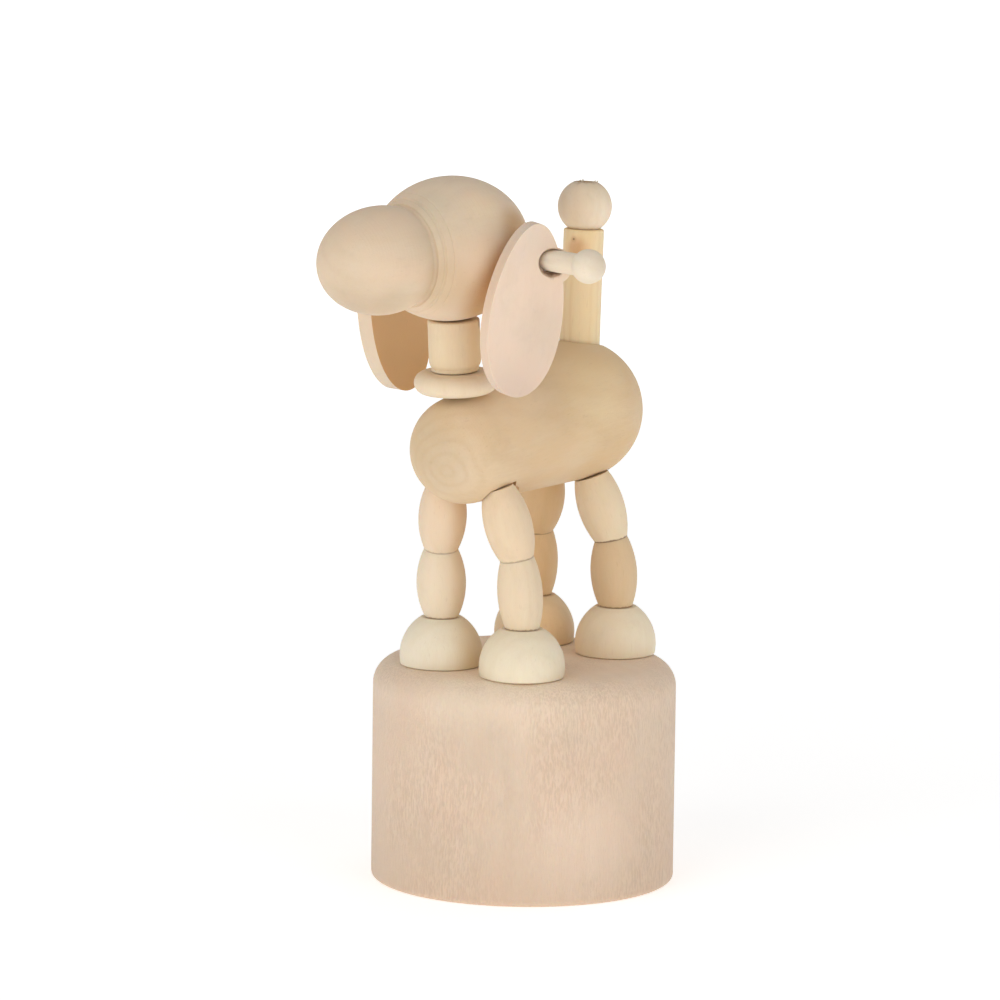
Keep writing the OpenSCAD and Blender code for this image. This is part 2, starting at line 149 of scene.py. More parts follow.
class Tree:
    """small helper for building a node tree"""

    def __init__(self, name):
        self.mat = bpy.data.materials.new(name)
        self.mat.use_nodes = True
        self.nt = self.mat.node_tree
        self.nt.nodes.clear()
        self.out = self.nt.nodes.new("ShaderNodeOutputMaterial")
        self.bsdf = self.nt.nodes.new("ShaderNodeBsdfPrincipled")
        self.nt.links.new(self.bsdf.outputs[0], self.out.inputs[0])

    def n(self, kind, **kw):
        node = self.nt.nodes.new(kind)
        for k, v in kw.items():
            setattr(node, k, v)
        return node

    def link(self, a, b):
        self.nt.links.new(a, b)

    def put(self, sock, val):
        if isinstance(val, bpy.types.NodeSocket):
            self.link(val, sock)
        elif val is not None:
            sock.default_value = val

    def math(self, op, a, b=None, c=None, clamp=False):
        x = self.n("ShaderNodeMath", operation=op, use_clamp=clamp)
        self.put(x.inputs[0], a)
        if b is not None:
            self.put(x.inputs[1], b)
        if c is not None:
            self.put(x.inputs[2], c)
        return x.outputs[0]

    def vmath(self, op, a, b=None):
        x = self.n("ShaderNodeVectorMath", operation=op)
        self.put(x.inputs[0], a)
        if b is not None:
            self.put(x.inputs[1], b)
        return x.outputs["Value"] if op in ("DOT_PRODUCT", "LENGTH", "DISTANCE") else x.outputs[0]

    def noise(self, vec, detail=2.0, rough=0.5, scale=1.0, w=0.0, colour=False):
        x = self.n("ShaderNodeTexNoise", noise_dimensions="4D")
        self.put(x.inputs["Vector"], vec)
        x.inputs["W"].default_value = w
        x.inputs["Scale"].default_value = scale
        x.inputs["Detail"].default_value = detail
        x.inputs["Roughness"].default_value = rough
        return x.outputs["Color"] if colour else x.outputs["Fac"]

    def remap(self, v, a, b, c, d, smooth=False):
        x = self.n("ShaderNodeMapRange", clamp=True)
        if smooth:
            x.interpolation_type = "SMOOTHSTEP"
        self.put(x.inputs[0], v)
        for i, t in zip((1, 2, 3, 4), (a, b, c, d)):
            x.inputs[i].default_value = t
        return x.outputs[0]

    def mix(self, fac, a, b, mode="MIX"):
        x = self.n("ShaderNodeMix", data_type="RGBA", blend_type=mode, clamp_factor=True)
        self.put(x.inputs[0], fac)
        self.put(x.inputs[6], a)
        self.put(x.inputs[7], b)
        return x.outputs[2]


def wood(name, light, dark, tint, axis, pith, seed, ring=2.2, ring_amt=0.35, fibre_amt=0.5, pore_amt=0.3,
         mottle_amt=0.6, end_dark=0.10, rough=0.6, bump=1.0, turned=0.35, knots=(), wavy=1.0, stain_and_hole_shade=None, flecks=0.0,
         painted_shade_amber=(), painted_shade_side=None, gain=(1, 1, 1), painted_low_shade=None, light_and_tone_zones=(), seams=(), dash=0.0):
    """raw wood: growth rings about a pith line, long fibres, pores, slow colour change, end grain, lathe marks; also
    painted light and painted shade where zones, side tints, amber spheres or a low band are given
    """
    ring_amt, fibre_amt, pore_amt = ring_amt * 0.36, fibre_amt * 0.62, pore_amt * 0.40
    light, dark, tint = (tuple(min(0.93, c * k) for c, k in zip(col3[:3], gain)) + (1,) for col3 in (light, dark, tint))
    t = Tree(name)
    tc = t.n("ShaderNodeTexCoord")
    pos = t.vmath("MULTIPLY", tc.outputs["Object"], (1000.0, 1000.0, 1000.0))
    off = t.vmath("SUBTRACT", pos, tuple(pith))
    mp = t.n("ShaderNodeMapping", vector_type="POINT")
    t.link(off, mp.inputs["Vector"])
    q = axis.normalized().rotation_difference(V(0, 0, 1)).to_euler("XYZ")
    mp.inputs["Rotation"].default_value = q
    q = mp.outputs[0]
    # slow bend of the grain
    bend = t.noise(t.vmath("MULTIPLY", q, (0.09, 0.09, 0.045)), 2, 0.5, w=seed, colour=True)
    bend = t.vmath("MULTIPLY", t.vmath("SUBTRACT", bend, (0.5, 0.5, 0.5)), (2.6 * wavy, 2.6 * wavy, 0.0))
    qw = t.vmath("ADD", q, bend)
    # growth rings
    wv = t.n("ShaderNodeTexWave", wave_type="RINGS", rings_direction="Z", wave_profile="SIN")
    t.link(qw, wv.inputs["Vector"])
    wv.inputs["Scale"].default_value = 0.314 / ring
    wv.inputs["Distortion"].default_value = 1.3
    wv.inputs["Detail"].default_value = 2.5
    wv.inputs["Detail Scale"].default_value = 0.9
    wv.inputs["Detail Roughness"].default_value = 0.55
    rings = t.math("POWER", wv.outputs["Fac"], 2.2)
    # fibres at two widths and short dark pores
    fine = t.noise(t.vmath("MULTIPLY", qw, (7.5, 7.5, 0.32)), 3, 0.62, w=seed + 3.1)
    coarse = t.noise(t.vmath("MULTIPLY", qw, (1.7, 1.7, 0.07)), 2, 0.55, w=seed + 5.7)
    pores = t.remap(t.noise(t.vmath("MULTIPLY", qw, (4.2, 4.2, 0.62)), 2, 0.5, w=seed + 9.3), 0.62, 0.76, 0, 1)
    mott = t.noise(t.vmath("MULTIPLY", q, (0.11, 0.11, 0.06)), 3, 0.6, w=seed + 12.9)
    fleck = t.remap(t.noise(t.vmath("MULTIPLY", qw, (0.7, 3.2, 0.9)), 1, 0.4, w=seed + 15.5), 0.62, 0.70, 0, 1)
    # end grain, from the angle between the surface and the fibres
    facing = t.math("ABSOLUTE", t.vmath("DOT_PRODUCT", tc.outputs["Normal"], tuple(axis.normalized())))
    end = t.remap(facing, 0.60, 0.97, 0, 1, True)
    ring_f = t.math("MULTIPLY", rings, t.math("MULTIPLY_ADD", end, 0.5 * ring_amt, ring_amt))
    fac = t.math("ADD", ring_f, t.math("MULTIPLY", t.math("SUBTRACT", fine, 0.5), fibre_amt))
    fac = t.math("ADD", fac, t.math("MULTIPLY", t.math("SUBTRACT", coarse, 0.5), fibre_amt * 0.8))
    fac = t.math("ADD", fac, 0.16, clamp=True)
    col = t.mix(fac, light, dark)
    col = t.mix(t.remap(mott, 0.35, 0.68, 0, mottle_amt, True), col, tint)
    if flecks:
        col = t.mix(t.math("MULTIPLY", fleck, flecks), col, tuple(c * 0.90 for c in light[:3]) + (1,), "MIX")
    col = t.mix(t.math("MULTIPLY", pores, pore_amt), col, tuple(c * k for c, k in zip(dark[:3], (0.62, 0.50, 0.40))) + (1,))
    col = t.mix(t.math("MULTIPLY", end, end_dark), col, tuple(c * 0.62 for c in dark[:3]) + (1,))
    for (kx, ky, kz, kr, kd) in knots:
        d = t.vmath("DISTANCE", t.vmath("ADD", pos, t.vmath("MULTIPLY", bend, (0.10, 0.10, 0.10))), (kx, ky, kz))
        halo = t.remap(d, kr * 0.35, kr * 3.2, 0.55 * kd, 0, True)
        core = t.remap(d, kr * 0.25, kr, kd, 0, True)
        col = t.mix(halo, col, tuple(c * 0.78 for c in dark[:3]) + (1,))
        col = t.mix(core, col, (0.16, 0.075, 0.030, 1))
    # short raised strokes along the grain, each with a lighter and a darker side
    strokes = None
    if dash:
        strokes = t.remap(t.noise(t.vmath("MULTIPLY", qw, (4.4, 4.4, 0.80)), 3, 0.62, w=seed + 31.7), 0.40, 0.62, 0, 1, True)
        where = t.remap(t.noise(t.vmath("MULTIPLY", q, (0.075, 0.075, 0.055)), 2, 0.5, w=seed + 41.1), 0.34, 0.60, 0.15, 1.0, True)
        amt = t.math("MULTIPLY", t.math("SUBTRACT", strokes, 0.5), where)
        col = t.mix(t.math("MULTIPLY", t.math("MAXIMUM", amt, 0.0), dash), col, tuple(min(0.93, c * 1.10) for c in light[:3]) + (1,))
        col = t.mix(t.math("MULTIPLY", t.math("MAXIMUM", t.math("MULTIPLY", amt, -1.0), 0.0), dash), col, tuple(c * 0.80 for c in dark[:3]) + (1,))
    # painted light and painted shade: spheres that lift or deepen the colour where the piece should look lighter or
    # darker from how light falls, plus a few slow changes of tone
    for (zx, zy, zz, r0, r1, k) in light_and_tone_zones:
        d = t.vmath("DISTANCE", t.vmath("ADD", pos, t.vmath("MULTIPLY", bend, (0.6, 0.6, 0.6))), (zx, zy, zz))
        col = t.mix(t.remap(d, r0, r1, 1, 0, True), col, t.mix(1.0, col, tuple(k) + (1,), "MULTIPLY"))
    # brown, broken line where two ends meet
    for (pt, ax, wide, amt) in seams:
        d = t.math("ABSOLUTE", t.vmath("DOT_PRODUCT", t.vmath("SUBTRACT", pos, tuple(pt)), tuple(ax)))
        d = t.math("ADD", d, t.math("MULTIPLY", t.math("SUBTRACT", coarse, 0.5), wide * 1.5))
        col = t.mix(t.remap(d, wide * 0.35, wide, amt, 0, True), col, (0.20, 0.085, 0.040, 1))
    # painted shade: deeper amber where a neighbour keeps light off the wood
    for (ax_, ay_, az_, r0, r1, amt) in painted_shade_amber:
        d = t.vmath("DISTANCE", t.vmath("ADD", pos, t.vmath("MULTIPLY", bend, (0.5, 0.5, 0.5))), (ax_, ay_, az_))
        col = t.mix(t.remap(d, r0, r1, amt, 0, True), col, tuple(c * k for c, k in zip(tint[:3], (0.93, 0.76, 0.52))) + (1,))
    # painted shade: sides facing the given direction, towards a neighbour, take a deeper amber
    if painted_shade_side:
        fdir, famt = painted_shade_side
        fd = t.vmath("DOT_PRODUCT", tc.outputs["Normal"], tuple(fdir))
        col = t.mix(t.remap(fd, 0.2, 0.85, 0, famt, True), col, tuple(c * k for c, k in zip(tint[:3], (0.93, 0.76, 0.52))) + (1,))
    # painted shade: darker towards the bottom, near the floor
    if painted_low_shade:
        zs = t.n("ShaderNodeSeparateXYZ")
        t.link(pos, zs.inputs[0])
        col = t.mix(t.remap(zs.outputs["Z"], painted_low_shade[0], painted_low_shade[1], painted_low_shade[2], 0, True), col, tuple(c * 0.66 for c in dark[:3]) + (1,))
    # ragged dark brown spot: a stain on the neck and the tail ball's crown, painted shade round the ears' peg holes
    if stain_and_hole_shade:
        sx, sy, sz, sr, sd = stain_and_hole_shade
        d = t.vmath("DISTANCE", pos, (sx, sy, sz))
        ragged = t.math("ADD", d, t.math("MULTIPLY", t.math("SUBTRACT", coarse, 0.5), 1.6))
        col = t.mix(t.remap(ragged, sr * 0.55, sr, sd, 0, True), col, (0.17, 0.075, 0.028, 1))
    # handling marks: faint, slightly darker and smoother rubbed patches
    rub = t.remap(t.noise(t.vmath("MULTIPLY", q, (0.21, 0.21, 0.16)), 4, 0.7, w=seed + 21.3), 0.52, 0.74, 0, 1, True)
    col = t.mix(t.math("MULTIPLY", rub, 0.10), col, tuple(c * 0.66 for c in dark[:3]) + (1,))
    t.link(col, t.bsdf.inputs["Base Color"])
    # roughness
    rg = t.math("MULTIPLY_ADD", fine, 0.16, rough - 0.08)
    rg = t.math("ADD", rg, t.math("MULTIPLY", rub, -0.10))
    rg = t.math("ADD", rg, t.math("MULTIPLY", end, 0.08), clamp=True)
    t.link(rg, t.bsdf.inputs["Roughness"])
    # relief
    h = t.math("MULTIPLY", fine, 0.55)
    h = t.math("ADD", h, t.math("MULTIPLY", coarse, 0.5))
    h = t.math("ADD", h, t.math("MULTIPLY", pores, -0.55))
    h = t.math("ADD", h, t.math("MULTIPLY", rings, 0.18))
    if dash:
        h = t.math("ADD", h, t.math("MULTIPLY", strokes, 1.0))
    if turned:
        lat = t.n("ShaderNodeTexWave", wave_type="BANDS", bands_direction="Z", wave_profile="SIN")
        t.link(q, lat.inputs["Vector"])
        lat.inputs["Scale"].default_value = 0.314 / 0.42
        lat.inputs["Distortion"].default_value = 0.8
        lat.inputs["Detail"].default_value = 1.5
        lat.inputs["Detail Scale"].default_value = 0.4
        side = t.remap(facing, 0.80, 0.97, 1, 0, True)
        h = t.math("ADD", h, t.math("MULTIPLY", t.math("MULTIPLY", lat.outputs["Fac"], side), turned * 0.22))
    bp = t.n("ShaderNodeBump")
    bp.inputs["Strength"].default_value = 0.55
    bp.inputs["Distance"].default_value = 0.00006 * bump
    t.link(h, bp.inputs["Height"])
    t.link(bp.outputs[0], t.bsdf.inputs["Normal"])
    t.bsdf.inputs["Specular IOR Level"].default_value = 0.32
    t.bsdf.inputs["Subsurface Weight"].default_value = 0.22
    t.bsdf.inputs["Subsurface Radius"].default_value = (1.0, 0.45, 0.16)
    t.bsdf.inputs["Subsurface Scale"].default_value = 0.0016
    t.bsdf.inputs["Sheen Weight"].default_value = 0.04
    t.bsdf.inputs["Sheen Roughness"].default_value = 0.6
    return t.mat


def cord_mat():
    t = Tree("cord_cotton")
    tc = t.n("ShaderNodeTexCoord")
    pos = t.vmath("MULTIPLY", tc.outputs["Object"], (1000.0, 1000.0, 1000.0))
    a = t.noise(t.vmath("MULTIPLY", pos, (9, 9, 5)), 3, 0.6, w=2)
    b = t.noise(t.vmath("MULTIPLY", pos, (0.5, 0.5, 0.3)), 2, 0.5, w=4)
    c = t.mix(t.remap(a, 0.3, 0.7, 0, 1), srgb(236, 228, 210), srgb(196, 178, 148))
    c = t.mix(t.remap(b, 0.4, 0.7, 0, 0.4), c, srgb(214, 196, 160))
    t.link(c, t.bsdf.inputs["Base Color"])
    t.link(t.math("MULTIPLY_ADD", a, 0.2, 0.7), t.bsdf.inputs["Roughness"])
    bp = t.n("ShaderNodeBump")
    bp.inputs["Strength"].default_value = 0.7
    bp.inputs["Distance"].default_value = 0.00008
    t.link(a, bp.inputs["Height"])
    t.link(bp.outputs[0], t.bsdf.inputs["Normal"])
    t.bsdf.inputs["Sheen Weight"].default_value = 0.25
    return t.mat


def steel_mat():
    t = Tree("spring_wire_steel")
    tc = t.n("ShaderNodeTexCoord")
    pos = t.vmath("MULTIPLY", tc.outputs["Object"], (1000.0, 1000.0, 1000.0))
    a = t.noise(t.vmath("MULTIPLY", pos, (2.5, 2.5, 9)), 3, 0.6, w=1)
    b = t.noise(t.vmath("MULTIPLY", pos, (0.25, 0.25, 0.3)), 3, 0.6, w=7)
    c = t.mix(t.remap(a, 0.3, 0.7, 0, 1), (0.60, 0.60, 0.60, 1), (0.44, 0.44, 0.45, 1))
    c = t.mix(t.remap(b, 0.55, 0.8, 0, 0.5), c, (0.34, 0.27, 0.20, 1))
    t.link(c, t.bsdf.inputs["Base Color"])
    t.link(t.math("MULTIPLY_ADD", a, 0.25, 0.22), t.bsdf.inputs["Roughness"])
    t.bsdf.inputs["Metallic"].default_value = 1.0
    bp = t.n("ShaderNodeBump")
    bp.inputs["Strength"].default_value = 0.3
    bp.inputs["Distance"].default_value = 0.00003
    t.link(a, bp.inputs["Height"])
    t.link(bp.outputs[0], t.bsdf.inputs["Normal"])
    return t.mat


def dress(node, mat):
    o = NODES[node]
    if not o.material_slots:
        o.data.materials.append(mat)
    for s in o.material_slots:
        s.material = mat


Z = V(0, 0, 1)
# painted shade: sides of the front-right leg and foot and of the rear-left foot that face the other legs
SHADED_SIDES = {
    "foot_front_right": ((0.86, 0.50, 0), 0.45), "foot_rear_left": ((-0.92, -0.38, 0), 0.30),
    "lower_leg_front_right": ((0.80, 0.60, 0), 0.40), "upper_leg_front_right": ((0.80, 0.60, 0), 0.50),
}
# colour multipliers for each leg piece; the warm tint they give the rear-right leg and foot is painted shade
TONE_AND_LIGHT_GAIN = {
    "foot_front_left": (1.04, 1.06, 1.07), "foot_front_right": (1.03, 1.07, 1.12),
    "foot_rear_left": (1.20, 1.25, 1.33), "foot_rear_right": (1.10, 1.06, 0.98),
    "lower_leg_front_left": (1.0, 1.01, 1.03), "lower_leg_front_right": (1.02, 1.08, 1.16),
    "lower_leg_rear_left": (1.03, 1.06, 1.13), "lower_leg_rear_right": (1.10, 1.06, 0.99),
    "upper_leg_front_left": (1.0, 1.0, 1.02), "upper_leg_front_right": (1.0, 1.02, 1.09),
    "upper_leg_rear_left": (1.10, 1.17, 1.24), "upper_leg_rear_right": (1.04, 1.01, 0.93),
}
# painted light: zones lift the top of the base, its front edge and its lower left; painted shade: one zone deepens the
# front a little, and the low band darkens the bottom towards the floor
dress("base", wood("wood_base", srgb(232, 212, 191), srgb(205, 176, 148), srgb(230, 204, 181), Z, (34, 46, 0), 1,
                   ring=3.4, ring_amt=0.20, fibre_amt=0.45, pore_amt=0.12, mottle_amt=0.85, rough=0.66, turned=0.15, bump=1.6, flecks=0.35, dash=0.52,
                   painted_low_shade=(0.0, 20.0, 0.17), end_dark=0.0, gain=(1.02, 1.0, 0.975), light_and_tone_zones=((0, 0, 45, 20, 31, (1.17, 1.20, 1.21)), (8, -21, 36, 4, 16, (1.08, 1.12, 1.13)),
                                                              (20.7, -12.1, 9, 2, 13, (1.11, 1.12, 1.15)), (7.3, -22.9, 27, 2, 9, (0.94, 0.94, 0.94)))))
dress("push_button", wood("wood_button", srgb(228, 208, 178), srgb(200, 168, 128), srgb(222, 196, 160), Z, (5, -3, 0), 2,
                          ring=2.6, ring_amt=0.45, turned=0.2))
# painted shade: inner sides of the front-right leg and foot and of the rear-left foot, facing the other legs, take a
# deeper amber; painted light: the rear-right foot's zone lifts and warms its front-left side
for i, (k, g) in enumerate(LEGS.items()):
    fr = k.startswith("front")
    lf = k.endswith("left")
    dress("foot_" + k, wood("wood_foot_" + k, srgb(240, 226, 200) if fr else srgb(232, 213, 184), srgb(216, 192, 156) if fr else srgb(205, 176, 138),
                            srgb(238, 221, 192) if fr else srgb(226, 203, 170), Z, (g.x - 9, g.y + 6 + i, 0), 3 + i, ring=2.0, ring_amt=0.22, turned=0.3,
                            gain=TONE_AND_LIGHT_GAIN["foot_" + k], painted_shade_side=SHADED_SIDES.get("foot_" + k),
                            light_and_tone_zones=((-4.8, 8.9, 38.4, 1.5, 6.5, (1.15, 1.10, 1.02)),) if k == "rear_right" else ()))
    tone = {"front_left": (236, 216, 186), "front_right": (235, 214, 184), "rear_left": (222, 194, 154), "rear_right": (226, 200, 162)}[k]
    dress("lower_leg_" + k, wood("wood_lower_leg_" + k, srgb(*tone), srgb(tone[0] - 26, tone[1] - 34, tone[2] - 44), srgb(tone[0], tone[1] - 5, tone[2] - 9),
                                 g.lo, g.ankle + V(5 - 3 * i, 7, 0), 10 + i, ring=1.7, ring_amt=0.30, gain=TONE_AND_LIGHT_GAIN["lower_leg_" + k], painted_shade_side=SHADED_SIDES.get("lower_leg_" + k),
                                 seams=((V(g.x, g.y, FOOT_TOP), Z, 0.34, 0.6),)))
    tone = {"front_left": (236, 214, 182), "front_right": (235, 212, 180), "rear_left": (230, 207, 174), "rear_right": (226, 200, 164)}[k]
    dress("upper_leg_" + k, wood("wood_upper_leg_" + k, srgb(*tone), srgb(tone[0] - 26, tone[1] - 34, tone[2] - 44), srgb(tone[0], tone[1] - 5, tone[2] - 9),
                                 g.up, g.knee_up + V(-6, 5 - 3 * i, 0), 15 + i, ring=1.9, ring_amt=0.30, gain=TONE_AND_LIGHT_GAIN["upper_leg_" + k], painted_shade_side=SHADED_SIDES.get("upper_leg_" + k),
                                 seams=(((g.knee_up + g.knee_lo) / 2, (g.up + g.lo).normalized(), 0.34, 0.8 if k == "rear_left" else 0.4),)))
# painted light: zones lift the back by the collar, the rump, the chest's front and the left flank; painted shade: a
# warmer, darker patch low on the left flank towards the rear, and one zone cools the chest low at the front
dress("body", wood("wood_body", srgb(228, 203, 168), srgb(204, 168, 122), srgb(222, 190, 146), BODY_AX, CHEST + V(2.2, 0, -1.6), 21,
                   ring=1.9, ring_amt=0.42, fibre_amt=0.55, mottle_amt=0.85, end_dark=0.16, rough=0.58, wavy=1.3, flecks=0.3, gain=(0.99, 0.98, 0.97),
                   light_and_tone_zones=((1.9, -25, 66.9, 2, 9, (0.97, 1.0, 1.06)), (10.6, 7.5, 68.6, 2, 10, (0.97, 0.95, 0.89)),
                          (4, -15, 80, 3, 13, (1.13, 1.18, 1.27)), (6, 8, 84, 4, 14, (1.09, 1.10, 1.09)),
                          (0, -22, 73, 3, 12, (1.03, 1.08, 1.15)), (10, 3, 78, 2, 10, (1.07, 1.09, 1.06)))))
dress("collar_ring", wood("wood_collar", srgb(234, 213, 180), srgb(208, 178, 136), srgb(230, 206, 168), COLLAR_AX, COLLAR_FOOT + V(6, 8, 0), 22, ring=2.2, ring_amt=0.3, gain=(1.03, 1.07, 1.16)))
# painted shade: the side facing the dog's left and rear takes a deeper amber; the small spot on the neck is a stain
dress("neck_bead", wood("wood_neck", srgb(234, 210, 174), srgb(206, 172, 126), srgb(228, 200, 158), NECK_AX, NECK_FOOT + V(-6, 6, 0), 23, ring=2.0, ring_amt=0.36,
                        stain_and_hole_shade=(4.08, -18.14, 91.0, 1.2, 0.45), gain=(1.05, 1.11, 1.2), painted_shade_side=((0.80, 0.60, 0), 0.65)))
# painted shade: the first two zones deepen the skull behind the left ear to amber, the next darkens the muzzle's
# underside, and small zones deepen patches on the muzzle and skull; painted light: the last zone lifts the skull's top
dress("head", wood("wood_head", srgb(228, 207, 180), srgb(202, 172, 136), srgb(226, 198, 168), HEAD_AX, HEAD_C + V(7, 0, 9), 24,
                   ring=3.0, ring_amt=0.14, fibre_amt=0.36, mottle_amt=0.9, end_dark=0.05, rough=0.55, turned=0.3, pore_amt=0.16,
                   gain=(1.02, 1.03, 1.04),
                   light_and_tone_zones=((12, -19, 96, 6.5, 10.8, (0.80, 0.62, 0.40)), (13, -18, 106, 2.2, 6.4, (0.78, 0.62, 0.45)),
                          (-1.4, -43.5, 93.5, 2, 10.5, (0.82, 0.80, 0.77)), (6.6, -32, 104.5, 1, 7, (0.92, 0.93, 0.92)),
                          (6.3, -30.5, 98.5, 2.0, 6.5, (0.88, 0.85, 0.78)), (3.5, -38.5, 96.5, 1, 5, (0.90, 0.90, 0.88)),
                          (3, -30, 110, 1, 4.5, (0.91, 0.94, 0.95)), (9, -24, 109.8, 1, 5, (1.08, 1.07, 1.03)))))
for s, k in ((1, "left"), (-1, "right")):
    dress("ear_peg_" + k, wood("wood_peg_" + k, srgb(238, 224, 202), srgb(212, 188, 154), srgb(234, 216, 188), HEAD_E, HEAD_C + V(2 * s, 6, 3), 26 + s, ring=1.6, ring_amt=0.25, turned=0.3, gain=(1.0, 1.02, 1.05)))
# painted shade: the inner face, towards the head, takes a deeper amber, zones darken the ear's bottom and middle, and
# the dark ring round the peg hole is the shade in the hole; the top zone only cools the tint a little
dress("ear_left", wood("wood_ear_left", srgb(236, 214, 193), srgb(216, 186, 158), srgb(235, 207, 184), V(0.10, 0.14, 1), V(30, -40, 92), 29,
                       ring=3.6, ring_amt=0.20, fibre_amt=0.36, mottle_amt=0.9, pore_amt=0.16, turned=0, end_dark=0.05, rough=0.58,
                       stain_and_hole_shade=tuple(PEG_ROOT + 18.0 * HEAD_E + V(0, -0.2, -0.3)) + (2.7, 0.85), painted_shade_side=(tuple(-HEAD_E), 0.8),
                       light_and_tone_zones=((16.8, -26, 79, 1, 12, (0.85, 0.87, 0.89)), (18, -24, 109, 1, 9, (0.95, 1.0, 1.03)),
                              (19.6, -21, 91, 1, 8, (0.90, 0.92, 0.92)))))
# painted shade: the inner face, towards the head, takes a deep amber, and the dark ring round the peg hole is the shade
# in the hole
dress("ear_right", wood("wood_ear_right", srgb(236, 216, 192), srgb(212, 180, 146), srgb(232, 204, 176), V(0.05, 0.42, 1), V(-34, -30, 92), 31,
                        ring=3.2, ring_amt=0.22, fibre_amt=0.36, mottle_amt=0.8, pore_amt=0.16, turned=0, end_dark=0.05, rough=0.58,
                        stain_and_hole_shade=tuple(PEG_ROOT - 20.0 * HEAD_E + V(0, -0.2, -0.3)) + (2.7, 0.85), painted_shade_side=(tuple(HEAD_E), 0.95), gain=(0.94, 0.97, 0.97)))
# the zone darkens and warms a patch below the ball, by the knot
dress("tail_post", wood("wood_tail_post", srgb(234, 208, 168), srgb(204, 166, 112), srgb(230, 196, 146), TAIL_AX, TAIL_FOOT + V(3.4, -4.4, 0), 33,
                        ring=1.2, ring_amt=0.5, fibre_amt=0.5, mottle_amt=0.6, wavy=1.9, knots=((1.14, 9.81, 101.07, 0.24, 0.8),), gain=(1.18, 1.22, 1.28),
                        light_and_tone_zones=((1.6, 9.8, 99.6, 0.6, 2.6, (0.82, 0.66, 0.58)),)))
dress("tail_ball", wood("wood_tail_ball", srgb(230, 209, 182), srgb(204, 172, 136), srgb(226, 198, 164), TAIL_AX, TAIL_BALL + V(3, -2, 0), 35, ring=1.8, ring_amt=0.3,
                        stain_and_hole_shade=(TAIL_BALL.x, TAIL_BALL.y + 0.1, TAIL_BALL.z + 4.2, 2.6, 0.42), end_dark=0.2, gain=(1.08, 1.14, 1.19),
                        light_and_tone_zones=((TAIL_BALL.x - 3.0, TAIL_BALL.y - 2.6, TAIL_BALL.z + 1, 1.2, 5.0, (0.84, 0.83, 0.84)),
                               (TAIL_BALL.x + 3.4, TAIL_BALL.y - 0.6, TAIL_BALL.z, 0.5, 4.2, (1.07, 1.10, 1.14)))))
dress("tail_plug", wood("wood_tail_plug", srgb(214, 184, 142), srgb(176, 136, 90), srgb(204, 168, 120), TAIL_AX, TAIL_BALL + V(1, 1, 0), 37, ring=0.8, ring_amt=0.5, turned=0, end_dark=0.35))
CORD = cord_mat()
STEEL = steel_mat()
for n in ("cord_front_left", "cord_front_right", "cord_rear_left", "cord_rear_right", "cord_knots"):
    dress(n, CORD)
dress("return_spring", STEEL)


# ---------------------------------------------------------------- pieces made here
def smooth_path(pts, step):
    """Catmull-Rom through points, one point about every step"""
    P = [pts[0] * 2 - pts[1]] + list(pts) + [pts[-1] * 2 - pts[-2]]
    out = []
    for i in range(1, len(P) - 2):
        a, b, c, d = P[i - 1], P[i], P[i + 1], P[i + 2]
        n = max(2, int(math.ceil((c - b).length / step)))
        for k in range(n):
            t = k / n
            out.append(0.5 * ((2 * b) + (c - a) * t + (2 * a - 5 * b + 4 * c - d) * t * t + (3 * b - a - 3 * c + d) * t ** 3))
    out.append(P[-2].copy())
    return out


def tube(name, pts, radius, sides=12, plies=0, twist=1.6, mat=None, closed_ends=True):
    """tube along pts (mm) with parallel-carried rings; plies gives the lobes of a twisted cord"""
    verts, faces = [], []
    n = len(pts)
    t0 = (pts[1] - pts[0]).normalized()
    a = t0.orthogonal().normalized()
    s = 0.0
    for i, p in enumerate(pts):
        t = (pts[min(i + 1, n - 1)] - pts[max(i - 1, 0)]).normalized()
        a = (a - t * a.dot(t)).normalized()
        b = t.cross(a)
        if i:
            s += (p - pts[i - 1]).length
        for j in range(sides):
            th = 2 * math.pi * j / sides
            r = radius
            if plies:
                r *= 0.90 + 0.10 * abs(math.cos(plies * (th - 2 * math.pi * s / twist) / 2)) ** 0.7
            rr = r if 0 < i < n - 1 else r * 0.82
            verts.append((p + a * (rr * math.cos(th)) + b * (rr * math.sin(th))) * MM)
    for i in range(n - 1):
        for j in range(sides):
            k = (j + 1) % sides
            faces.append((i * sides + j, i * sides + k, (i + 1) * sides + k, (i + 1) * sides + j))
    if closed_ends:
        faces.append(tuple(reversed(range(sides))))
        faces.append(tuple((n - 1) * sides + j for j in range(sides)))
    me = bpy.data.meshes.new(name)
    me.from_pydata([tuple(v) for v in verts], [], faces)
    me.validate()
    for p in me.polygons:
        p.use_smooth = True
    o = bpy.data.objects.new(name, me)
    bpy.context.scene.collection.objects.link(o)
    if mat:
        me.materials.append(mat)
    return o


CORD_R = 0.46


def cord(name, pts, body=None, bend=None, squash=None):
    o = tube(name, smooth_path(pts, 0.35), CORD_R, 14, 3, 1.7, CORD)
    if bend:
        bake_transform(o)
    else:
        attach(o, body)
        if squash:
            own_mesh(o)
    return o


